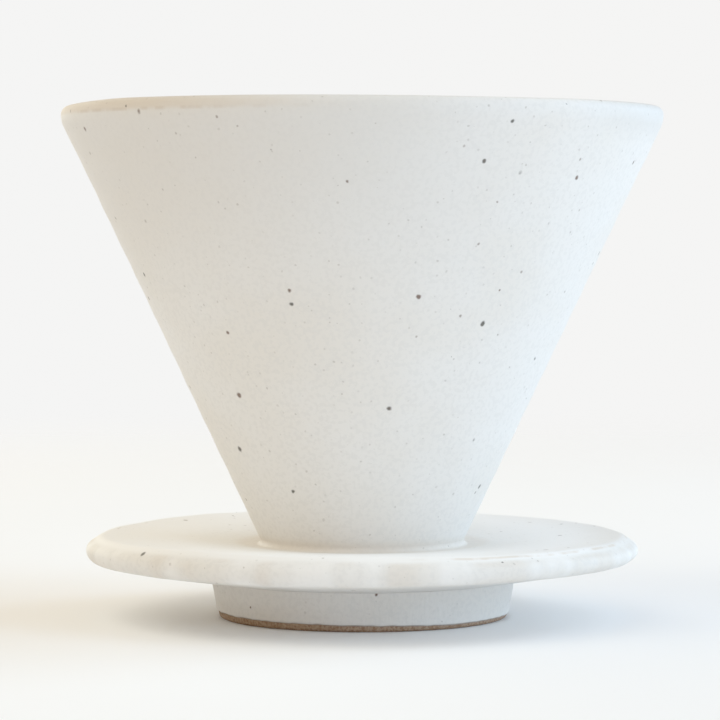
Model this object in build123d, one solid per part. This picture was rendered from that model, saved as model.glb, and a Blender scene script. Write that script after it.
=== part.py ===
from build123d import *

import math
import os

# A wheel-thrown stoneware pour-over dripper that stands on a mug or a table.
#
# The clay parts are thrown and rolled apart, and luted together with slip before firing:
#   cone_body          the thrown cone, with its lip, its floor and three drain holes
#   rib_01 .. rib_12   clay strips laid up the inside, which hold the paper filter off the wall
#   saucer             the disc that rests on a mug's rim, with a tapered seat for the cone
#   foot_ring          the collar under the saucer, which drops into the mug's mouth
#   upper_luting_coil  the soft clay coil smoothed into the corner outside the cone's base
#   foot_luting_coil   the coil smoothed into the corner inside the foot ring
#
# Millimetres. +Z is up along the throwing axis, and the origin is the centre of the foot's
# resting face. Every part is round about Z, apart from the ribs and the drain holes.

# Cone wall
RIM_RADIUS = 60.5           # the outer wall where it meets the lip
RIM_WALL_Z = 100.0          # the height of that circle
HALF_ANGLE = 25.3           # the wall's lean from the axis, in degrees
WALL = 4.6                  # the wall's thickness, square to it

# Lip: the wall bends upright for its last few millimetres, and its edge is rounded over.
# These are the corners before rounding. The rounded lip stands 103 mm above the foot.
LIP_BEND_ROUND = 5.5
LIP_Z = 103.3
LIP_OUTER_ROUND = 1.7
LIP_INNER_DROP = 0.45       # from the outer corner down to the inner one
LIP_INNER_ROUND = 1.7

# Floor and drain holes
BASE_Z = 7.8                # underside of the cone and of the saucer's hub
FLOOR_Z = 13.3
FLOOR_ROUND = 2.5           # inside corner between the floor and the wall
HOLE_RADIUS = 3.25
HOLE_RING_RADIUS = 6.6
HOLE_COUNT = 3
FIRST_HOLE_ANGLE = 90       # towards the back, in degrees from +X

# Ribs
RIB_COUNT = 12
RIB_WIDTH = 2.4
RIB_HEIGHT = 1.6
RIB_ROUND = 0.7
RIB_BOTTOM_Z = 16.8
RIB_TOP_Z = 86.3
RIB_RUN_OUT = 9.0           # the height over which a rib's top end sinks into the wall
RIB_BACK = 3.0              # how deep the blank goes into the wall before it is trimmed
RIB_EDGE_MIN = 40.0         # only a rib's long edges are longer than this

# Saucer. Its top is dished. The edge's corners are given before rounding.
SAUCER_RADIUS = 55.6
SAUCER_HUB_Z = 14.6         # top face at the cone
SAUCER_CREST_Z = 17.2       # top face where the edge starts to fall away
SAUCER_CREST_ROUND = 2.4
EDGE_FALL_WIDTH = 3.0       # from the crest out to the edge
EDGE_SHOULDER_Z = 15.1
EDGE_SHOULDER_ROUND = 2.2
EDGE_LOWER_Z = 11.7         # between the side and the underside
EDGE_LOWER_ROUND = 2.5

# Foot ring
FOOT_TOP_RADIUS = 30.6
FOOT_BOTTOM_RADIUS = 29.1
FOOT_INNER_RADIUS = 24.4
FOOT_OUTER_ROUND = 0.7
FOOT_INNER_ROUND = 0.6

# Luting coils, smoothed to concave arcs
UPPER_COIL_RADIUS = 0.8
FOOT_COIL_RADIUS = 2.5

LEAN = math.tan(math.radians(HALF_ANGLE))
WALL_ACROSS = WALL / math.cos(math.radians(HALF_ANGLE))


def outer_radius(z):
    """Radius of the cone's outer wall at height z."""
    return RIM_RADIUS - (RIM_WALL_Z - z) * LEAN


def inner_radius(z):
    """Radius of the cone's inner wall at height z."""
    return outer_radius(z) - WALL_ACROSS


def rounded_face(corners):
    """A flat face from corners given as (radius across, height, rounding)."""
    edges = []
    ends = []
    for i, (x, z, rounding) in enumerate(corners):
        corner = Vector(x, z)
        before = Vector(*corners[i - 1][:2])
        after = Vector(*corners[(i + 1) % len(corners)][:2])
        back = (before - corner).normalized()
        on = (after - corner).normalized()
        half = back.get_angle(on) / 2
        if rounding:
            # The arc's ends lie this far along each side, and its middle this far in.
            reach = rounding / math.tan(math.radians(half))
            depth = rounding / math.sin(math.radians(half)) - rounding
            middle = corner + (back + on).normalized() * depth
            edges.append(ThreePointArc(corner + back * reach, middle, corner + on * reach))
            ends.append((corner + back * reach, corner + on * reach))
        else:
            ends.append((corner, corner))
    for i, (start, _) in enumerate(ends):
        edges.append(Line(ends[i - 1][1], start))
    return make_face(edges)


def spin(face):
    """The solid that a flat face, drawn as radius across and height up, makes about Z."""
    return revolve(Plane.XZ * face, Axis.Z, 360)


def make_cone_body():
    inner_corner_z = LIP_Z - LIP_INNER_DROP
    body = spin(
        rounded_face(
            [
                (0, BASE_Z, 0),
                (outer_radius(BASE_Z), BASE_Z, 0),
                (RIM_RADIUS, RIM_WALL_Z, LIP_BEND_ROUND),
                (RIM_RADIUS, LIP_Z, LIP_OUTER_ROUND),
                (inner_radius(inner_corner_z), inner_corner_z, LIP_INNER_ROUND),
                (inner_radius(FLOOR_Z), FLOOR_Z, FLOOR_ROUND),
                (0, FLOOR_Z, 0),
            ]
        )
    )
    hole = Cylinder(HOLE_RADIUS, 2 * LIP_Z)
    return body - PolarLocations(HOLE_RING_RADIUS, HOLE_COUNT, FIRST_HOLE_ANGLE) * hole


def make_rib_blank():
    """One rib in the XZ plane, with its back still buried in the wall."""
    slope_end_z = RIB_TOP_Z - RIB_RUN_OUT
    front = RIB_HEIGHT / math.cos(math.radians(HALF_ANGLE))
    side = rounded_face(
        [
            (inner_radius(RIB_BOTTOM_Z) - front, RIB_BOTTOM_Z, 0),
            (inner_radius(slope_end_z) - front, slope_end_z, 0),
            (inner_radius(RIB_TOP_Z), RIB_TOP_Z, 0),
            (inner_radius(RIB_TOP_Z) + RIB_BACK, RIB_TOP_Z, 0),
            (inner_radius(RIB_BOTTOM_Z) + RIB_BACK, RIB_BOTTOM_Z, 0),
        ]
    )
    blank = extrude(Plane.XZ * side, RIB_WIDTH / 2, both=True)
    long_edges = blank.edges().filter_by(lambda edge: edge.length > RIB_EDGE_MIN)
    front_edges = long_edges.sort_by(lambda edge: edge.center().X)[:2]
    return fillet(front_edges, RIB_ROUND)


def make_ribs():
    """The ribs, each trimmed to the cone's inner wall."""
    hollow = spin(
        rounded_face(
            [
                (0, FLOOR_Z, 0),
                (inner_radius(FLOOR_Z), FLOOR_Z, 0),
                (inner_radius(LIP_Z), LIP_Z, 0),
                (0, LIP_Z, 0),
            ]
        )
    )
    rib = make_rib_blank() & hollow
    step = 360 / RIB_COUNT
    return {f"rib_{i + 1:02d}": Rot(0, 0, i * step) * rib for i in range(RIB_COUNT)}


def make_saucer():
    crest_radius = SAUCER_RADIUS - EDGE_FALL_WIDTH
    return spin(
        rounded_face(
            [
                (outer_radius(SAUCER_HUB_Z), SAUCER_HUB_Z, 0),
                (outer_radius(BASE_Z), BASE_Z, 0),
                (FOOT_TOP_RADIUS, BASE_Z, 0),
                (SAUCER_RADIUS, EDGE_LOWER_Z, EDGE_LOWER_ROUND),
                (SAUCER_RADIUS, EDGE_SHOULDER_Z, EDGE_SHOULDER_ROUND),
                (crest_radius, SAUCER_CREST_Z, SAUCER_CREST_ROUND),
            ]
        )
    )


def make_foot_ring():
    return spin(
        rounded_face(
            [
                (FOOT_BOTTOM_RADIUS, 0, FOOT_OUTER_ROUND),
                (FOOT_TOP_RADIUS, BASE_Z, 0),
                (FOOT_INNER_RADIUS, BASE_Z, 0),
                (FOOT_INNER_RADIUS, 0, FOOT_INNER_ROUND),
            ]
        )
    )


def make_coil(corner, first_way, second_way, radius):
    """A concave ring that fills the corner between two walls, each given by its direction in degrees."""
    half = math.radians(second_way - first_way) / 2
    reach = radius / math.tan(abs(half))
    depth = radius / math.sin(abs(half)) - radius
    middle_way = math.radians(first_way + second_way) / 2

    def along(way, distance):
        return (corner[0] + distance * math.cos(way), corner[1] + distance * math.sin(way))

    start = along(math.radians(first_way), reach)
    end = along(math.radians(second_way), reach)
    hollow_side = ThreePointArc(start, along(middle_way, depth), end)
    return spin(make_face([hollow_side, Polyline(end, corner, start)]))


def make_upper_luting_coil():
    """Between the saucer's top, which runs outwards, and the cone's wall."""
    corner = (outer_radius(SAUCER_HUB_Z), SAUCER_HUB_Z)
    crest_run = SAUCER_RADIUS - EDGE_FALL_WIDTH - corner[0]
    saucer_way = math.degrees(math.atan2(SAUCER_CREST_Z - SAUCER_HUB_Z, crest_run))
    return make_coil(corner, saucer_way, 90 - HALF_ANGLE, UPPER_COIL_RADIUS)


def make_foot_luting_coil():
    """Between the hub's underside, which runs inwards, and the foot ring's inner wall."""
    return make_coil((FOOT_INNER_RADIUS, BASE_Z), 180, 270, FOOT_COIL_RADIUS)


def main():
    parts = {
        "cone_body": make_cone_body(),
        "saucer": make_saucer(),
        "foot_ring": make_foot_ring(),
        "upper_luting_coil": make_upper_luting_coil(),
        "foot_luting_coil": make_foot_luting_coil(),
        **make_ribs(),
    }
    os.makedirs("parts", exist_ok=True)
    for name, shape in parts.items():
        export_step(shape, f"parts/{name}.step")


main()
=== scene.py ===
"""The looks of a hand-thrown stoneware pour-over dripper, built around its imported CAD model.

Every CAD node is replaced, one for one, by a dense mesh of the same part. The clay parts are spun
from their profiles and then moved by one field of small hand-made unevenness, so parts that touch
still touch. Lengths are in millimetres until a mesh is made, and in metres after that.
"""

import math

import bpy
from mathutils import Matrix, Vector, noise


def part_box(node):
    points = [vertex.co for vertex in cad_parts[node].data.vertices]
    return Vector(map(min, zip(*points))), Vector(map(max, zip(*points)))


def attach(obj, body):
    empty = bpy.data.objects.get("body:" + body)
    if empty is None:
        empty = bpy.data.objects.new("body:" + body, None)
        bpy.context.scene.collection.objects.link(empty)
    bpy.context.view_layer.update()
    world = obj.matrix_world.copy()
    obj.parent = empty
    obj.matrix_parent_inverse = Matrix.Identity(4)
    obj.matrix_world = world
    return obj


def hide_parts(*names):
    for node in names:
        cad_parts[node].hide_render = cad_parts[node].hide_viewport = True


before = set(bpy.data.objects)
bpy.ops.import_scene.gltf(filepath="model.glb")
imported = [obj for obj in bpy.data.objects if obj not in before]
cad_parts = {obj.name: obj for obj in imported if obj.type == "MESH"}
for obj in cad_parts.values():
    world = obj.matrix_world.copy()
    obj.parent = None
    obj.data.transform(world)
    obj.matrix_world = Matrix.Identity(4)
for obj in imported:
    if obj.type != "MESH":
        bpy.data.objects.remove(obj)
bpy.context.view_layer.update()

MM = 0.001
TURN = 2 * math.pi


def reach(node):
    """How far a round node reaches from the axis, and its lowest and highest z, in millimetres."""
    low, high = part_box(node)
    return high.x / MM, low.z / MM, high.z / MM


# ---------------------------------------------------------------- sizes

# The CAD nodes give the outer sizes.
LIP_REACH, BASE_Z, TOP_Z = reach("cone_body")
SAUCER_REACH, SAUCER_LOW_Z, SAUCER_TOP_Z = reach("saucer")
FOOT_TOP_RADIUS = reach("foot_ring")[0]
RIB_BOTTOM_Z, RIB_TOP_Z = reach("rib_01")[1:]

# Cone wall and lip. The lip's corners are given before rounding.
LEAN = math.tan(math.radians(25.3))
WALL = 4.6
WALL_ACROSS = WALL * math.hypot(1, LEAN)
LIP_CORNER_ABOVE_TOP = 0.22
LIP_Z = TOP_Z + LIP_CORNER_ABOVE_TOP
LIP_HEIGHT = 3.3
LIP_INNER_DROP = 0.45
LIP_BEND_ROUND = 5.5
LIP_EDGE_ROUND = 1.7
FLOOR_Z = BASE_Z + 5.5
FLOOR_ROUND = 2.5
HOLE_RADIUS = 3.25
HOLE_RING_RADIUS = 6.6
HOLE_COUNT = 3
HOLE_EDGE_ROUND = 0.9
HOLE_FLARE = 1.3            # how far the hole's edge widens, and how deep that goes
CUTTER_FLARE = 2.5          # the same where the cutter stands clear of the clay
CUTTER_CLEAR = 1.0

# Saucer, whose top is dished. The edge's corners are given before rounding.
HUB_Z = SAUCER_TOP_Z - 2.54
CREST_Z = SAUCER_TOP_Z + 0.06
CREST_RADIUS = SAUCER_REACH - 3.0
CREST_ROUND = 2.4
SHOULDER_Z = SAUCER_TOP_Z - 2.04
EDGE_LOWER_Z = SAUCER_LOW_Z + 3.9
SHOULDER_ROUND = 2.2
EDGE_LOWER_ROUND = 2.5

# Foot ring
FOOT_BOTTOM_RADIUS = FOOT_TOP_RADIUS - 1.5
FOOT_INNER_RADIUS = FOOT_TOP_RADIUS - 6.2
FOOT_OUTER_ROUND = 0.7
FOOT_INNER_ROUND = 0.6

# Luting coils, smoothed to concave arcs
UPPER_COIL_RADIUS = 0.8
FOOT_COIL_RADIUS = 2.5
COIL_BURIED = 0.25
COIL_EDGE_BURIED = 0.2      # as a share of that

# Ribs
RIB_HALF_WIDTH = 1.2
RIB_HEIGHT = 1.6
RIB_RUN_OUT = 9.0
RIB_BURIED = 0.5
RIB_COUNT = 12
RIB_SIDES = 12              # steps across a rib's round front
RIB_ROW = 0.8
RIB_HEIGHT_VARIES = 0.14
RIB_WIDTH_VARIES = 0.12
RIB_WANDERS = 0.25
RIB_WAVE = 9

# Glaze on the foot
GLAZE_THICKNESS = 0.22
GLAZE_BEAD = 0.10

# How fine each mesh is: the step along a straight run, the step along an arc, and columns round.
CONE_MESH = (1.25, 0.35, 360)
SAUCER_MESH = (1.0, 0.25, 540)
FOOT_MESH = (0.2, 0.15, 600)
HOLE_MESH = (0.5, 0.2, 72)
COIL_ARC_STEP = 0.15
COIL_COLUMNS = 540
LEAST_ARC_STEPS = 3
ON_AXIS = 1e-6
SHARP_ANGLE = 38


def outer_radius(z):
    """Radius of the cone's outer wall at height z."""
    return LIP_REACH - (LIP_Z - LIP_HEIGHT - z) * LEAN


def inner_radius(z):
    """Radius of the cone's inner wall at height z."""
    return outer_radius(z) - WALL_ACROSS


def around(azimuth, radius, z):
    """A point at that many degrees round from the front, towards the right."""
    angle = math.radians(azimuth)
    return Vector((radius * math.sin(angle), -radius * math.cos(angle), z))


# ---------------------------------------------------------------- the hand-made unevenness


def smooth(value, low, high):
    """0 below low, 1 above high and an even curve between them. It falls if low is above high."""
    share = min(max((value - low) / (high - low), 0), 1)
    return share * share * (3 - 2 * share)


def lumps(point, size, layer):
    """Soft random waves about that many millimetres long, from -1 to 1."""
    return noise.noise(point / size + Vector((7.3 * layer, 3.1 * layer, 5.7 * layer)))


# Waves that move the clay: the height of each, its length and its layer of noise
WALL_WAVES = [(0.20, 45, 1), (0.07, 16, 2)]
LIP_WAVES = [(0.08, 30, 3)]
EDGE_SIDE_WAVES = [(0.20, 24, 4), (0.24, 9, 5)]
EDGE_TOP_WAVES = [(0.12, 30, 6), (0.12, 10, 7)]
TURNING_RING = 0.045
TURNING_PITCH = 7.0
LIP_SLOPE = 0.005
LIP_LEFT_DIP = 0.50
EDGE_RIGHT_LIFT = 0.27      # the saucer's underside on the right
EDGE_RIGHT_DIP = 0.50       # its crest on the right
EDGE_LEFT_DIP = 0.40
FOOT_BULGE = 0.30

# Where each of those acts. Each pair is where it begins, and where it is full.
UP_THE_CONE_Z = (20, 60)
RINGS_FROM_Z = (18, 30)
RINGS_TO_Z = (99, 92)
NEAR_LIP_Z = (84, 103)
LIP_LEFT_X = (-44, -60)
SAUCER_Z = (22, 18)
SAUCER_OUTER_ACROSS = (30, 50)
EDGE_RIGHT_X = (-5, 40)
EDGE_LEFT_X = (-30, -50)
EDGE_UNDER_Z = (13.5, 11.5)
EDGE_CREST_Z = (13.5, 16)
FOOT_Z = (BASE_Z, BASE_Z - 2)
FOOT_RIGHT_X = (0, 30)

# The glaze stops about this high above the foot, and lower on the right.
GLAZE_LINE_Z = 1.25
GLAZE_LINE_TILT = 0.40
GLAZE_LINE_BLUR = 0.12
SLOW_WANDER = 0.2
SLOW_WANDER_RATE = 1.6
QUICK_WANDER = 0.16
QUICK_WANDER_RATE = 12
INSIDE_FOOT_ACROSS = (FOOT_INNER_RADIUS + 1.0, FOOT_INNER_RADIUS + 0.6)
UNDER_FLOOR_Z = (BASE_Z + 0.9, BASE_Z + 0.3)


def waves(point, layers):
    """The waves of several layers, added up."""
    return sum(height * lumps(point, size, layer) for height, size, layer in layers)


def handmade(point):
    """Where a point of the perfect pot lies on the hand-made one."""
    radius = math.hypot(point.x, point.y)
    out = Vector((point.x, point.y, 0)) / max(radius, 1)
    x, z = point.x, point.z
    # Thrown walls are a little out of round, with faint turning rings.
    wall_shift = smooth(z, *UP_THE_CONE_Z) * waves(point, WALL_WAVES)
    spiral = z / TURNING_PITCH - math.atan2(point.y, point.x) / TURN
    ring_shift = TURNING_RING * smooth(z, *RINGS_FROM_Z) * smooth(z, *RINGS_TO_Z) * math.sin(TURN * spiral)
    # The lip dips to the right, and at its far left.
    lip_wave = waves(point, LIP_WAVES) - LIP_SLOPE * x - LIP_LEFT_DIP * smooth(x, *LIP_LEFT_X)
    lip_rise = smooth(z, *NEAR_LIP_Z) * lip_wave
    # The saucer's edge was smoothed by hand, and is the least even part.
    on_edge = smooth(z, *SAUCER_Z) * smooth(radius, *SAUCER_OUTER_ACROSS)
    edge_shift = on_edge * waves(point, EDGE_SIDE_WAVES)
    edge_rise = on_edge * waves(point, EDGE_TOP_WAVES)
    # It is thinner on the right, and its crest is lower at both ends.
    thinner = on_edge * smooth(x, *EDGE_RIGHT_X)
    lift = EDGE_RIGHT_LIFT * smooth(z, *EDGE_UNDER_Z)
    dip = EDGE_RIGHT_DIP * smooth(z, *EDGE_CREST_Z)
    edge_rise += thinner * (lift - dip)
    edge_rise -= EDGE_LEFT_DIP * on_edge * smooth(x, *EDGE_LEFT_X) * smooth(z, *EDGE_CREST_Z)
    # The foot bulges a little on the right.
    foot_shift = FOOT_BULGE * smooth(z, *FOOT_Z) * smooth(x, *FOOT_RIGHT_X)
    moved = out * (wall_shift + ring_shift + edge_shift + foot_shift)
    return point + moved + Vector((0, 0, lip_rise + edge_rise))


def glaze_line(point):
    """The height at which the glaze stops above the foot, which wanders round it."""
    round_it = Vector((point.x, point.y, 0)).normalized()
    slow = noise.noise(round_it * SLOW_WANDER_RATE + Vector((2.0, 5.0, 1.0)))
    quick = noise.noise(round_it * QUICK_WANDER_RATE + Vector((9.0, 1.0, 4.0)))
    return GLAZE_LINE_Z + SLOW_WANDER * slow + QUICK_WANDER * quick - GLAZE_LINE_TILT * round_it.x


def bare_clay(point):
    """1 where the clay was left without glaze: the foot's bottom, and all the space inside the foot."""
    radius = math.hypot(point.x, point.y)
    line = glaze_line(point)
    below_line = smooth(point.z, line + GLAZE_LINE_BLUR, line - GLAZE_LINE_BLUR)
    inside_foot = smooth(radius, *INSIDE_FOOT_ACROSS)
    low = smooth(point.z, *UNDER_FLOOR_Z)
    return max(below_line, inside_foot * low)


# ---------------------------------------------------------------- meshes


def arc(corner, back, on, rounding, spacing):
    """Points of the arc that touches both ways out of a corner, from one to the other."""
    half = back.angle(on) / 2
    centre = corner + (back + on).normalized() * rounding / math.sin(half)
    first = corner + back * rounding / math.tan(half) - centre
    last = corner + on * rounding / math.tan(half) - centre
    steps = max(LEAST_ARC_STEPS, round(rounding * (math.pi - 2 * half) / spacing))
    return [centre + rounding * first.slerp(last, k / steps) for k in range(steps + 1)]


def rounded_outline(corners, spacing, arc_spacing, closed):
    """Points along straight runs and rounded corners. An open outline keeps its two end points."""
    runs = []
    count = len(corners)
    for i, (x, z, rounding) in enumerate(corners):
        corner = Vector((x, z))
        if rounding:
            back = (Vector(corners[i - 1][:2]) - corner).normalized()
            on = (Vector(corners[(i + 1) % count][:2]) - corner).normalized()
            runs.append(arc(corner, back, on, rounding, arc_spacing))
        else:
            runs.append([corner])
    points = []
    for i, run in enumerate(runs):
        points.extend(run)
        if i == count - 1 and not closed:
            break
        start = run[-1]
        end = runs[(i + 1) % count][0]
        steps = max(1, round((end - start).length / spacing))
        points.extend(start.lerp(end, k / steps) for k in range(1, steps))
    return points


def spin(outline, columns, closed):
    """Vertices and faces of an outline of (radius, height) spun about Z. An open one ends on the axis."""
    vertices = []
    rows = []
    for r, z in outline:
        start = len(vertices)
        if r < ON_AXIS:
            vertices.append(Vector((0, 0, z)))
            rows.append([start] * columns)
            continue
        for k in range(columns):
            angle = TURN * k / columns
            vertices.append(Vector((r * math.cos(angle), r * math.sin(angle), z)))
        rows.append([start + k for k in range(columns)])
    faces = []
    pairs = list(zip(rows, rows[1:]))
    if closed:
        pairs.append((rows[-1], rows[0]))
    for lower, upper in pairs:
        for k in range(columns):
            after = (k + 1) % columns
            corners = [lower[k], lower[after], upper[after], upper[k]]
            faces.append(list(dict.fromkeys(corners)))
    return vertices, faces


def make_piece(name, node, vertices, faces, material, shape=handmade):
    """A piece of the pot that stands for a CAD node."""
    mesh = bpy.data.meshes.new(name)
    mesh.from_pydata([v * MM for v in vertices], [], faces)
    piece = bpy.data.objects.new(name, mesh)
    bpy.context.scene.collection.objects.link(piece)
    finish_mesh(mesh, shape)
    mesh.materials.append(material)
    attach(piece, "root")
    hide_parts(node)
    return piece


def finish_mesh(mesh, shape):
    """Gives a perfect mesh its hand-made shape, its bare clay and its smooth shading."""
    bare = mesh.attributes.new("bare", "FLOAT", "POINT")
    for vertex, amount in zip(mesh.vertices, bare.data):
        perfect = vertex.co / MM
        amount.value = bare_clay(perfect)
        vertex.co = shape(perfect) * MM
    mesh.validate()
    mesh.shade_smooth()
    mesh.set_sharp_from_angle(angle=math.radians(SHARP_ANGLE))
    mesh.update()


def cut_holes(vertices, faces, cutter_outline, places, columns):
    """The same solid with a round cutter taken out at each of those places."""

    def temporary(name, some_vertices, some_faces):
        mesh = bpy.data.meshes.new(name)
        mesh.from_pydata([v * MM for v in some_vertices], [], some_faces)
        made = bpy.data.objects.new(name, mesh)
        bpy.context.scene.collection.objects.link(made)
        return made

    solid = temporary("uncut", vertices, faces)
    cutters = []
    for x, y in places:
        cutter_vertices, cutter_faces = spin(cutter_outline, columns, False)
        cutter_vertices = [v + Vector((x, y, 0)) for v in cutter_vertices]
        cutters.append(temporary("cutter", cutter_vertices, cutter_faces))
    for cutter in cutters:
        cut = solid.modifiers.new("cut", "BOOLEAN")
        cut.operation = "DIFFERENCE"
        cut.solver = "EXACT"
        cut.object = cutter
    graph = bpy.context.evaluated_depsgraph_get()
    result = bpy.data.meshes.new_from_object(solid.evaluated_get(graph))
    cut_vertices = [v.co / MM for v in result.vertices]
    cut_faces = [list(face.vertices) for face in result.polygons]
    for made in [solid, *cutters]:
        mesh = made.data
        bpy.data.objects.remove(made)
        bpy.data.meshes.remove(mesh)
    bpy.data.meshes.remove(result)
    return cut_vertices, cut_faces


# ---------------------------------------------------------------- materials


class Graph:
    """A material's nodes, with short ways to add and join them."""

    def __init__(self, name):
        self.material = bpy.data.materials.new(name)
        self.material.use_nodes = True
        self.tree = self.material.node_tree
        self.shader = self.tree.nodes["Principled BSDF"]

    def feed(self, socket, value):
        if isinstance(value, bpy.types.NodeSocket):
            self.tree.links.new(value, socket)
        else:
            socket.default_value = value

    def node(self, kind, inputs, **settings):
        made = self.tree.nodes.new(kind)
        for key, value in settings.items():
            setattr(made, key, value)
        for key, value in inputs.items():
            self.feed(made.inputs[key], value)
        return made

    def math(self, operation, *values):
        inputs = dict(enumerate(values))
        return self.node("ShaderNodeMath", inputs, operation=operation).outputs[0]

    def product(self, first, *others):
        """All of the values multiplied together."""
        for other in others:
            first = self.math("MULTIPLY", first, other)
        return first

    def vector(self, operation, *values):
        inputs = dict(enumerate(values))
        return self.node("ShaderNodeVectorMath", inputs, operation=operation)

    def step(self, value, low, high):
        """0 below low, 1 above high and an even curve between them. It falls if low is above high."""
        inputs = {"Value": value, "From Min": low, "From Max": high}
        return self.node("ShaderNodeMapRange", inputs, interpolation_type="SMOOTHSTEP").outputs[0]

    def noise(self, place, size, detail=2.0):
        """Soft random values about 0.5, in waves about that many millimetres long."""
        inputs = {"Vector": place, "Scale": 1 / size, "Detail": detail}
        return self.node("ShaderNodeTexNoise", inputs).outputs["Fac"]

    def blend(self, amount, first, second):
        """A colour that goes from the first to the second."""
        made = self.node("ShaderNodeMix", {0: amount, 6: first, 7: second}, data_type="RGBA")
        return made.outputs[2]

    def find_places(self):
        """Adds where each point is, in millimetres: place, x, z, and across, how far from the axis."""
        coordinates = self.node("ShaderNodeTexCoord", {}).outputs["Object"]
        scaled = self.vector("SCALE", coordinates)
        scaled.inputs["Scale"].default_value = 1 / MM
        self.place = scaled.outputs[0]
        split = self.node("ShaderNodeSeparateXYZ", {"Vector": self.place})
        self.x, self.z = split.outputs["X"], split.outputs["Z"]
        level = self.vector("MULTIPLY", self.place, (1.0, 1.0, 0.0)).outputs[0]
        self.across = self.vector("LENGTH", level).outputs["Value"]
        self.upright = self.vector("MULTIPLY", self.place, (1.0, 1.0, 0.2)).outputs[0]


def colour(red, green, blue):
    return (red, green, blue, 1.0)


WHITE_GLAZE = colour(0.775, 0.762, 0.738)
CREAM_GLAZE = colour(0.750, 0.722, 0.675)
# Pooled white glaze, which also paints the highlight along the saucer's crest and the reflections on its edge
POOLED_GLAZE_AND_HIGHLIGHT = colour(0.880, 0.873, 0.857)
# Grey glaze for the mottle, also used for painted shade towards the lip and along its right-hand side
GREY_GLAZE_AND_SHADE = colour(0.610, 0.600, 0.580)
# Buff thin glaze, also used for painted warm shade in the cone's base corner and on the cone's left side
THIN_GLAZE_AND_WARM_SHADE = colour(0.560, 0.430, 0.290)
TAN_STREAK = colour(0.400, 0.270, 0.160)
CLAY = colour(0.215, 0.120, 0.065)
PALE_CLAY = colour(0.360, 0.235, 0.150)
# Dark clay used for painted shade on the bare foot
PAINTED_CLAY_SHADE = colour(0.100, 0.050, 0.028)
SOOTY_SPECK = colour(0.014, 0.010, 0.003)
BROWN_SPECK = colour(0.072, 0.021, 0.004)
FAINT_SPECK = colour(0.145, 0.105, 0.075)

# Where the glaze changes, and where shade and highlights are painted, in millimetres. Each pair is where a
# change begins, and where it is full.
POOL_ACROSS = (21.0, 44.0)
POOL_END_ACROSS = (CREST_RADIUS + 2.2, CREST_RADIUS + 0.8)
# The pool's painted highlight is full on the left and fades towards the right
POOL_FADE_X = (56.0, 36.0)
POOL_LEAST = 0.2
SAUCER_UPPER_Z = (SAUCER_TOP_Z + 3.0, SAUCER_TOP_Z + 1.0)
SAUCER_LOWER_Z = (HUB_Z - 2.0, HUB_Z - 1.0)
CREST_ACROSS = (CREST_RADIUS - 1.0, CREST_RADIUS + 1.0)
SIDE_ACROSS = (CREST_RADIUS + 1.0, CREST_RADIUS + 2.0)
CREST_LINE_RADIUS = CREST_RADIUS + 0.6
CREST_LINE_WIDTH = (0.5, 0.1)
CREST_LINE_X = (4.0, 24.0)
# Painted shade in the corner round the cone's base
CORNER_ACROSS = (27.0, 23.5)
CORNER_Z = (HUB_Z + 3.0, HUB_Z + 0.8)
# Painted warm shade on the left, and painted shade towards the lip and along its right-hand side
WARM_X = (2.0, -48.0)
GREYER_X = (42.0, -5.0)
RISING_Z = (52.0, 98.0)
THIN_LIP_Z = (TOP_Z - 2.6, TOP_Z - 1.5)
RIGHT_LIP_X = (36.0, 58.0)
RIGHT_LIP_Z = (TOP_Z - 9.0, TOP_Z - 3.0)
STREAKS_FROM_Z = (TOP_Z - 2.5, TOP_Z - 2.1)
STREAKS_TO_Z = (TOP_Z - 1.5, TOP_Z - 1.9)
UNDERNEATH_Z = (0.7, 0.1)
STROKES_Z = (BASE_Z + 0.5, BASE_Z)

# Specks: the spacing of their cells, the smallest and largest radius, and the share of cells with one
FINE_SPECKS = (1.8, 0.16, 0.36, 0.80)
MIDDLING_SPECKS = (3.8, 0.24, 0.46, 0.55)
LARGE_SPECKS = (6.0, 0.30, 0.80, 0.70)
SPECK_CORE = 0.45           # the share of a speck's radius that is fully dark
SPECK_WOBBLE = 0.55         # how far its outline wanders
SPECK_WOBBLE_SIZE = 1.1

# The sizes of patches and grain
DRIFT_SIZE = 30
MOTTLE_SIZE = 0.9
WAVE_SIZE = 7.5
STREAK_SIZE = 3.5
BREAK_SIZE = 5
GLOSS_PATCH_SIZE = 5
SAND_SIZE = 0.5
GLAZE_ROUGHNESS = 0.48      # the least, and it varies by this much
GLAZE_ROUGHNESS_RANGE = 0.16
CLAY_ROUGHNESS = 0.88
SHINE = 0.16

# Relief: the size of each kind, the noise's detail, and how high it stands
SLOW_RELIEF = (8, 2.0, 0.10)
PEEL_RELIEF = (1.4, 2.0, 0.014)
GRAIN_RELIEF = (0.35, 1.0, 0.008)
SAND_HEIGHT = 0.12
STROKE_SIZE = 0.9
STROKE_HEIGHT = 0.10


def scattered(graph, place, spacing, smallest, largest, share):
    """Random specks: how much of one covers each point, and a random number for each speck.

    There is one speck centre to a cell of that spacing, and that share of them are specks.
    """
    inputs = {"Vector": place, "Scale": 1 / spacing, "Randomness": 1.0}
    cells = graph.node("ShaderNodeTexVoronoi", inputs)
    random = graph.node("ShaderNodeSeparateColor", {"Color": cells.outputs["Color"]})
    size_inputs = {
        "Value": random.outputs[0],
        "From Min": 1 - share,
        "From Max": 1.0,
        "To Min": smallest / spacing,
        "To Max": largest / spacing,
    }
    radius = graph.node("ShaderNodeMapRange", size_inputs).outputs[0]
    chosen = graph.math("GREATER_THAN", random.outputs[0], 1 - share)
    core = graph.math("MULTIPLY", radius, SPECK_CORE)
    cover = graph.step(cells.outputs["Distance"], radius, core)
    return graph.math("MULTIPLY", cover, chosen), random.outputs[1]


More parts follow.
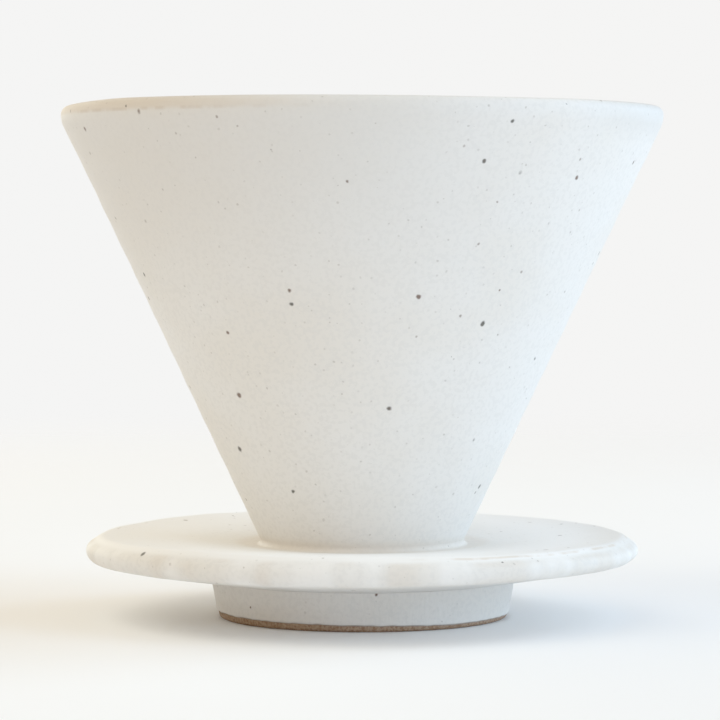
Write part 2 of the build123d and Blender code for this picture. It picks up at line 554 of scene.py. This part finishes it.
def drifting_glaze(graph):
    """White glaze with warmer drifts and a faint mottle."""
    drift = graph.step(graph.noise(graph.place, DRIFT_SIZE), 0.35, 0.7)
    cover = graph.blend(drift, WHITE_GLAZE, CREAM_GLAZE)
    mottle = graph.step(graph.noise(graph.place, MOTTLE_SIZE, 3.0), 0.46, 0.62)
    return graph.blend(graph.product(mottle, 0.28), cover, GREY_GLAZE_AND_SHADE)


def on_saucer(graph):
    """1 at the saucer's height and below, and 0 above it."""
    return graph.step(graph.z, *SAUCER_UPPER_Z)


def pool_and_highlights_on_saucer(graph, cover):
    """The glaze pools white towards the saucer's crest, with a painted highlight along it, strongest on the
    left. On its edge, upright waves of painted reflection alternate with buff waves of thinner glaze.
    """
    fade = graph.step(graph.x, *POOL_FADE_X)
    pool_and_highlight = graph.product(
        graph.step(graph.across, *POOL_ACROSS),
        graph.step(graph.across, *POOL_END_ACROSS),
        graph.math("MULTIPLY_ADD", fade, 1 - POOL_LEAST, POOL_LEAST),
        graph.product(on_saucer(graph), graph.step(graph.z, *SAUCER_LOWER_Z)),
    )
    cover = graph.blend(pool_and_highlight, cover, POOLED_GLAZE_AND_HIGHLIGHT)
    side = graph.product(on_saucer(graph), graph.step(graph.across, *SIDE_ACROSS))
    waves = graph.noise(graph.upright, WAVE_SIZE, 1.0)
    thin = graph.product(side, graph.step(waves, 0.48, 0.66), 0.20)
    cover = graph.blend(thin, cover, THIN_GLAZE_AND_WARM_SHADE)
    # Painted reflections: bright upright patches on the saucer's edge
    reflection_waves = graph.product(side, graph.step(waves, 0.50, 0.34), 0.55)
    return graph.blend(reflection_waves, cover, POOLED_GLAZE_AND_HIGHLIGHT)


def shade_in_corner(graph, cover):
    """Painted shade, warm and darker, in the corner round the cone's base."""
    corner = graph.product(graph.step(graph.across, *CORNER_ACROSS), graph.step(graph.z, *CORNER_Z), 0.26)
    return graph.blend(corner, cover, THIN_GLAZE_AND_WARM_SHADE)


def shade_and_tint_towards_lip(graph, cover):
    """Painted shade darkens the cone towards the lip and along the lip's right-hand side, and painted warm
    shade tints its left side. The lip is buff on the left, partly from thinner glaze and partly from that
    painted warm shade, and tan streaks lie under its edge there.
    """
    warm = graph.step(graph.x, *WARM_X)
    rising = graph.step(graph.z, *RISING_Z)
    # Painted shade: the cone darkens towards the lip, in the middle and on the left
    greyer = graph.product(rising, graph.step(graph.x, *GREYER_X), 0.60)
    cover = graph.blend(greyer, cover, GREY_GLAZE_AND_SHADE)
    # Painted warm shade on the upper left of the cone
    cover = graph.blend(graph.product(rising, warm, 0.16), cover, THIN_GLAZE_AND_WARM_SHADE)
    # The lip is buff on the left, partly from thinner glaze and partly from painted warm shade
    lip = graph.product(graph.step(graph.z, *THIN_LIP_Z), warm, 0.50)
    cover = graph.blend(lip, cover, THIN_GLAZE_AND_WARM_SHADE)
    # Painted shade along the right-hand side of the lip
    right_lip = graph.product(graph.step(graph.z, *RIGHT_LIP_Z), graph.step(graph.x, *RIGHT_LIP_X), 0.60)
    cover = graph.blend(right_lip, cover, GREY_GLAZE_AND_SHADE)
    patches = graph.step(graph.noise(graph.upright, STREAK_SIZE, 5.0), 0.46, 0.60)
    below_lip = graph.product(graph.step(graph.z, *STREAKS_FROM_Z), graph.step(graph.z, *STREAKS_TO_Z))
    return graph.blend(graph.product(below_lip, patches, warm, 0.30), cover, TAN_STREAK)


def line_on_crest(graph, cover):
    """On the right, the saucer's crest has a fine broken line of thin glaze."""
    broken = graph.step(graph.noise(graph.place, BREAK_SIZE, 5.0), 0.40, 0.62)
    from_crest = graph.math("ABSOLUTE", graph.math("SUBTRACT", graph.across, CREST_LINE_RADIUS))
    edge = graph.product(on_saucer(graph), graph.step(graph.across, *CREST_ACROSS))
    line = graph.product(
        graph.step(from_crest, *CREST_LINE_WIDTH),
        graph.product(edge, broken),
        graph.step(graph.x, *CREST_LINE_X),
        0.55,
    )
    return graph.blend(line, cover, THIN_GLAZE_AND_WARM_SHADE)


def iron_specks(graph, cover):
    """Iron bleeds through the glaze in many fine specks, fewer middling ones and a few large dark ones."""
    inputs = {"Vector": graph.place, "Scale": 1 / SPECK_WOBBLE_SIZE, "Detail": 3.0}
    wobble = graph.node("ShaderNodeTexNoise", inputs).outputs["Color"]
    offset = graph.vector("SUBTRACT", wobble, (0.5, 0.5, 0.5)).outputs[0]
    shift = graph.vector("MULTIPLY", offset, (SPECK_WOBBLE, SPECK_WOBBLE, SPECK_WOBBLE)).outputs[0]
    uneven = graph.vector("ADD", graph.place, shift).outputs[0]
    fine, tone = scattered(graph, uneven, *FINE_SPECKS)
    fine = graph.product(fine, graph.math("MULTIPLY_ADD", tone, 0.34, 0.06))
    cover = graph.blend(fine, cover, FAINT_SPECK)
    middling, tone = scattered(graph, uneven, *MIDDLING_SPECKS)
    middling = graph.product(middling, graph.math("MULTIPLY_ADD", tone, 0.60, 0.20))
    cover = graph.blend(middling, cover, FAINT_SPECK)
    large, tone = scattered(graph, uneven, *LARGE_SPECKS)
    speck_colour = graph.blend(graph.step(tone, 0.3, 0.7), SOOTY_SPECK, BROWN_SPECK)
    return graph.blend(graph.product(large, 0.9), cover, speck_colour)


def clay_where_bare(graph, cover, bare, grain):
    """Bare clay shows sandy grain. It has a painted shadow along the glaze's edge, where the glaze stands
    proud, and painted contact shade underneath.
    """
    clay = graph.blend(graph.step(grain, 0.35, 0.65), CLAY, PALE_CLAY)
    # Painted shadow of the glaze's ledge, along its edge
    border = graph.product(bare, graph.math("SUBTRACT", 1.0, bare), 4.0)
    ground = graph.blend(bare, cover, clay)
    ground = graph.blend(graph.product(border, 0.6), ground, PAINTED_CLAY_SHADE)
    # Painted contact shade at the foot's bottom
    underneath = graph.product(bare, graph.step(graph.z, *UNDERNEATH_Z), 0.55)
    return graph.blend(underneath, ground, PAINTED_CLAY_SHADE)


def noise_relief(graph, size, detail, height):
    return graph.product(graph.noise(graph.place, size, detail), height)


def surface_relief(graph, bare, grain):
    """Millimetres of relief: slow waves, orange peel, fine grain, sand, and brush strokes on the foot."""
    slow = noise_relief(graph, *SLOW_RELIEF)
    peel = noise_relief(graph, *PEEL_RELIEF)
    fine_grain = noise_relief(graph, *GRAIN_RELIEF)
    sand = graph.product(grain, bare, SAND_HEIGHT)
    relief = graph.math("ADD", graph.math("ADD", slow, peel), graph.math("ADD", fine_grain, sand))
    turned = graph.vector("MULTIPLY", graph.place, (1.0, 1.0, 0.15)).outputs[0]
    strokes = graph.product(graph.noise(turned, STROKE_SIZE, 3.0), graph.step(graph.z, *STROKES_Z))
    return graph.math("MULTIPLY_ADD", strokes, STROKE_HEIGHT, relief)


def pottery(name):
    """Speckled matte white glaze over tan stoneware, which shows where the glaze stops."""
    graph = Graph(name)
    graph.find_places()
    cover = drifting_glaze(graph)
    cover = pool_and_highlights_on_saucer(graph, cover)
    cover = shade_in_corner(graph, cover)
    cover = shade_and_tint_towards_lip(graph, cover)
    cover = line_on_crest(graph, cover)
    cover = iron_specks(graph, cover)
    bare = graph.node("ShaderNodeAttribute", {}, attribute_name="bare").outputs["Fac"]
    grain = graph.noise(graph.place, SAND_SIZE, 4.0)
    graph.feed(graph.shader.inputs["Base Color"], clay_where_bare(graph, cover, bare, grain))
    patches = graph.noise(graph.place, GLOSS_PATCH_SIZE)
    gloss = graph.math("MULTIPLY_ADD", patches, GLAZE_ROUGHNESS_RANGE, GLAZE_ROUGHNESS)
    rough = graph.node("ShaderNodeMix", {0: bare, 2: gloss, 3: CLAY_ROUGHNESS}).outputs[0]
    graph.feed(graph.shader.inputs["Roughness"], rough)
    graph.shader.inputs["Specular IOR Level"].default_value = SHINE
    relief = surface_relief(graph, bare, grain)
    bump = graph.node("ShaderNodeBump", {"Height": relief, "Strength": 1.0, "Distance": MM})
    graph.feed(graph.shader.inputs["Normal"], bump.outputs["Normal"])
    return graph.material


cone_glaze = pottery("cone_glaze")
saucer_glaze = pottery("saucer_glaze")
foot_glaze = pottery("foot_glaze")
plain_glaze = pottery("plain_glaze")


# ---------------------------------------------------------------- the pieces


def build_cone():
    inner_corner_z = LIP_Z - LIP_INNER_DROP
    corners = [
        (0, BASE_Z, 0),
        (outer_radius(BASE_Z), BASE_Z, 0),
        (LIP_REACH, LIP_Z - LIP_HEIGHT, LIP_BEND_ROUND),
        (LIP_REACH, LIP_Z, LIP_EDGE_ROUND),
        (inner_radius(inner_corner_z), inner_corner_z, LIP_EDGE_ROUND),
        (inner_radius(FLOOR_Z), FLOOR_Z, FLOOR_ROUND),
        (0, FLOOR_Z, 0),
    ]
    run_step, arc_step, columns = CONE_MESH
    vertices, faces = spin(rounded_outline(corners, run_step, arc_step, False), columns, False)
    middle_z = (BASE_Z + FLOOR_Z) / 2
    cutter_corners = [
        (0, BASE_Z - CUTTER_CLEAR, 0),
        (HOLE_RADIUS + CUTTER_FLARE, BASE_Z - CUTTER_CLEAR, 0),
        (HOLE_RADIUS + HOLE_FLARE, BASE_Z, 0),
        (HOLE_RADIUS, BASE_Z + HOLE_FLARE, HOLE_EDGE_ROUND),
        (HOLE_RADIUS, middle_z, 0),
        (HOLE_RADIUS, FLOOR_Z - HOLE_FLARE, HOLE_EDGE_ROUND),
        (HOLE_RADIUS + HOLE_FLARE, FLOOR_Z, 0),
        (HOLE_RADIUS + CUTTER_FLARE, FLOOR_Z + CUTTER_CLEAR, 0),
        (0, FLOOR_Z + CUTTER_CLEAR, 0),
    ]
    run_step, arc_step, columns = HOLE_MESH
    cutter_outline = rounded_outline(cutter_corners, run_step, arc_step, False)
    places = [around(180 + k * 360 / HOLE_COUNT, HOLE_RING_RADIUS, 0).xy for k in range(HOLE_COUNT)]
    vertices, faces = cut_holes(vertices, faces, cutter_outline, places, columns)
    return make_piece("cone_thrown", "cone_body", vertices, faces, cone_glaze)


def build_saucer():
    corners = [
        (outer_radius(HUB_Z), HUB_Z, 0),
        (outer_radius(BASE_Z), BASE_Z, 0),
        (FOOT_TOP_RADIUS, SAUCER_LOW_Z, 0),
        (SAUCER_REACH, EDGE_LOWER_Z, EDGE_LOWER_ROUND),
        (SAUCER_REACH, SHOULDER_Z, SHOULDER_ROUND),
        (CREST_RADIUS, CREST_Z, CREST_ROUND),
    ]
    run_step, arc_step, columns = SAUCER_MESH
    vertices, faces = spin(rounded_outline(corners, run_step, arc_step, True), columns, True)
    faces = [face[::-1] for face in faces]
    return make_piece("saucer_thrown", "saucer", vertices, faces, saucer_glaze)


def build_foot():
    corners = [
        (FOOT_BOTTOM_RADIUS, 0, FOOT_OUTER_ROUND),
        (FOOT_TOP_RADIUS, BASE_Z, 0),
        (FOOT_INNER_RADIUS, BASE_Z, 0),
        (FOOT_INNER_RADIUS, 0, FOOT_INNER_ROUND),
    ]
    run_step, arc_step, columns = FOOT_MESH
    vertices, faces = spin(rounded_outline(corners, run_step, arc_step, True), columns, True)

    def ledged(point):
        """The glaze stands proud of the bare clay, and rolls over at its edge."""
        out = Vector((point.x, point.y, 0)).normalized()
        outside = smooth(math.hypot(point.x, point.y), FOOT_INNER_RADIUS + 1.0, FOOT_INNER_RADIUS + 2.0)
        line = glaze_line(point)
        step_in = GLAZE_THICKNESS * smooth(point.z, line + 0.25, line - 0.15)
        bead = GLAZE_BEAD * smooth(point.z, line - 0.1, line + 0.3) * smooth(point.z, line + 1.6, line + 0.3)
        return handmade(point + out * outside * (bead - step_in))

    return make_piece("foot_thrown", "foot_ring", vertices, faces, foot_glaze, ledged)


def build_coil(name, node, material, corner, first_way, second_way, radius):
    """A concave ring in the corner between two walls, whose back is buried a little in both."""
    back = Vector((math.cos(first_way), math.sin(first_way)))
    on = Vector((math.cos(second_way), math.sin(second_way)))
    hidden = corner - (back + on).normalized() * COIL_BURIED
    into_both = (hidden - corner) * COIL_EDGE_BURIED
    points = arc(corner, back, on, radius, COIL_ARC_STEP)
    outline = [points[0] + into_both, *points[1:-1], points[-1] + into_both, hidden]
    vertices, faces = spin(outline, COIL_COLUMNS, True)
    return make_piece(name, node, vertices, faces, material)


def build_upper_coil():
    corner = Vector((outer_radius(HUB_Z), HUB_Z))
    along_top = math.atan2(CREST_Z - HUB_Z, CREST_RADIUS - corner.x)
    up_the_wall = math.atan2(1, LEAN)
    return build_coil("upper_coil_smoothed", "upper_luting_coil", saucer_glaze,
                      corner, along_top, up_the_wall, UPPER_COIL_RADIUS)


def build_foot_coil():
    corner = Vector((FOOT_INNER_RADIUS, BASE_Z))
    return build_coil("foot_coil_smoothed", "foot_luting_coil", foot_glaze,
                      corner, math.pi, 1.5 * math.pi, FOOT_COIL_RADIUS)


def build_rib(index):
    """A soft clay strip up the inner wall, rounded at its foot and dying away into the wall at its top."""
    angle = TURN * index / RIB_COUNT
    inward = Vector((-math.cos(angle), -math.sin(angle), LEAN)).normalized()
    sideways = Vector((-math.sin(angle), math.cos(angle), 0))
    rows = round((RIB_TOP_Z - RIB_BOTTOM_Z) / RIB_ROW)
    vertices = []
    for row in range(rows + 1):
        z = RIB_BOTTOM_Z + (RIB_TOP_Z - RIB_BOTTOM_Z) * row / rows
        foot = Vector((inner_radius(z) * math.cos(angle), inner_radius(z) * math.sin(angle), z))
        here = Vector((index * 3.7, z / RIB_WAVE, 0))
        from_end = min((z - RIB_BOTTOM_Z) / RIB_HEIGHT, 1)
        height = RIB_HEIGHT * (1 + RIB_HEIGHT_VARIES * noise.noise(here)) * math.sqrt(1 - (1 - from_end) ** 2)
        height *= smooth(z, RIB_TOP_Z, RIB_TOP_Z - RIB_RUN_OUT)
        half_width = RIB_HALF_WIDTH * (1 + RIB_WIDTH_VARIES * noise.noise(here + Vector((0, 0, 4))))
        foot += sideways * RIB_WANDERS * noise.noise(here + Vector((0, 0, 8)))
        vertices.append(foot - sideways * half_width - inward * RIB_BURIED)
        for k in range(RIB_SIDES + 1):
            turn = math.pi * k / RIB_SIDES
            vertices.append(foot - sideways * half_width * math.cos(turn) + inward * height * math.sin(turn))
        vertices.append(foot + sideways * half_width - inward * RIB_BURIED)
    width = RIB_SIDES + 3
    faces = [list(range(width))]
    for row in range(rows):
        for k in range(width):
            here = row * width
            after = (k + 1) % width
            faces.append([here + after, here + k, here + width + k, here + width + after])
    faces.append([rows * width + k for k in reversed(range(width))])
    name = f"rib_{index + 1:02d}"
    return make_piece(f"{name}_rolled", name, vertices, faces, plain_glaze)


build_cone()
build_saucer()
build_foot()
build_upper_coil()
build_foot_coil()
for rib in range(RIB_COUNT):
    build_rib(rib)


# ---------------------------------------------------------------- camera, floor and light

# Metres, millimetres of lens and degrees
CAMERA_DISTANCE = 0.677
CAMERA_HEIGHT = 0.0793
CAMERA_LENS = 167.6
CAMERA_DIP = 2.325          # degrees below level
CAMERA_LEFT = 0.000465
LIGHT_DISTANCE = 1.2
LIGHT_AIM_HEIGHT = 0.05
FLOOR_RADIUS = 2000
FLOOR_COLUMNS = 96
FLOOR_FADE = (0.75, 0.28)   # where the floor is gone, and where it is whole
VIEW_GAMMA = 1.5

FLOOR_WHITE = colour(0.93, 0.93, 0.94)
BACKDROP = colour(0.87, 0.87, 0.86)
ROOM = colour(0.4, 0.3, 0.2)
SKY = (0.5, 0.75, 1.0)
LAMPLIGHT = (1.0, 1.0, 0.85)

# A window's cool light comes from the right, and a room's warmer light from the left. Each is a
# name, degrees round from the front, degrees up, size in metres, watts and a colour.
LIGHTS = [
    ("window_front", 60, 15, 0.7, 7, SKY),
    ("window_back", 120, 15, 0.7, 6, SKY),
    ("window_high", 90, 50, 0.9, 5, SKY),
    ("lamp_behind", -150, 15, 0.7, 4, LAMPLIGHT),
    ("lamp_front", -45, 50, 0.9, 3, LAMPLIGHT),
    ("lamp_left", -90, 50, 0.9, 3, LAMPLIGHT),
]


def add_camera():
    camera = bpy.data.objects.new("camera", bpy.data.cameras.new("camera"))
    bpy.context.scene.collection.objects.link(camera)
    camera.location = (-CAMERA_LEFT, -CAMERA_DISTANCE, CAMERA_HEIGHT)
    camera.rotation_euler = (math.radians(90 - CAMERA_DIP), 0, 0)
    camera.data.lens = CAMERA_LENS
    camera.data.sensor_width = 36
    camera.data.clip_start = 0.01
    bpy.context.scene.camera = camera


def add_area(name, azimuth, elevation, size, power, light_colour):
    """A soft square light that faces the dripper from that many degrees round from the front, and up."""
    data = bpy.data.lights.new(name, "AREA")
    data.size = size
    data.energy = power
    data.color = light_colour
    light = bpy.data.objects.new(name, data)
    bpy.context.scene.collection.objects.link(light)
    up = math.radians(elevation)
    aim = Vector((0, 0, LIGHT_AIM_HEIGHT))
    light.location = aim + around(azimuth, LIGHT_DISTANCE * math.cos(up), LIGHT_DISTANCE * math.sin(up))
    light.rotation_euler = (aim - light.location).to_track_quat("-Z", "Y").to_euler()


def add_floor():
    """A pale round floor that fades into the backdrop."""
    graph = Graph("floor")
    coordinates = graph.node("ShaderNodeTexCoord", {}).outputs["Object"]
    distance = graph.vector("LENGTH", coordinates).outputs["Value"]
    graph.shader.inputs["Base Color"].default_value = FLOOR_WHITE
    graph.shader.inputs["Roughness"].default_value = 0.9
    graph.shader.inputs["Specular IOR Level"].default_value = 0.1
    graph.feed(graph.shader.inputs["Alpha"], graph.step(distance, *FLOOR_FADE))
    turns = [TURN * k / FLOOR_COLUMNS for k in range(FLOOR_COLUMNS)]
    edge = [Vector((math.cos(turn), math.sin(turn), 0)) * FLOOR_RADIUS for turn in turns]
    mesh = bpy.data.meshes.new("floor")
    mesh.from_pydata([v * MM for v in edge], [], [list(range(FLOOR_COLUMNS))])
    mesh.materials.append(graph.material)
    floor = bpy.data.objects.new("floor", mesh)
    bpy.context.scene.collection.objects.link(floor)


def add_world():
    """An even pale backdrop to look at. Other rays see the same below them, and a dimmer room above."""
    world = bpy.data.worlds.new("studio")
    world.use_nodes = True
    bpy.context.scene.world = world
    nodes = world.node_tree.nodes
    links = world.node_tree.links
    coordinates = nodes.new("ShaderNodeTexCoord")
    split = nodes.new("ShaderNodeSeparateXYZ")
    links.new(coordinates.outputs["Generated"], split.inputs[0])
    above = nodes.new("ShaderNodeMath")
    above.operation = "GREATER_THAN"
    above.inputs[1].default_value = 0.0
    links.new(split.outputs["Z"], above.inputs[0])
    room = nodes["Background"]
    room.inputs["Color"].default_value = ROOM
    seen = nodes.new("ShaderNodeBackground")
    seen.inputs["Color"].default_value = BACKDROP
    path = nodes.new("ShaderNodeLightPath")
    below_or_above = nodes.new("ShaderNodeMixShader")
    links.new(above.outputs[0], below_or_above.inputs[0])
    links.new(seen.outputs[0], below_or_above.inputs[1])
    links.new(room.outputs[0], below_or_above.inputs[2])
    choose = nodes.new("ShaderNodeMixShader")
    links.new(path.outputs["Is Camera Ray"], choose.inputs[0])
    links.new(below_or_above.outputs[0], choose.inputs[1])
    links.new(seen.outputs[0], choose.inputs[2])
    links.new(choose.outputs[0], nodes["World Output"].inputs[0])


add_camera()
add_floor()
add_world()
for light in LIGHTS:
    add_area(*light)
view = bpy.context.scene.view_settings
view.view_transform = "Standard"
view.gamma = VIEW_GAMMA
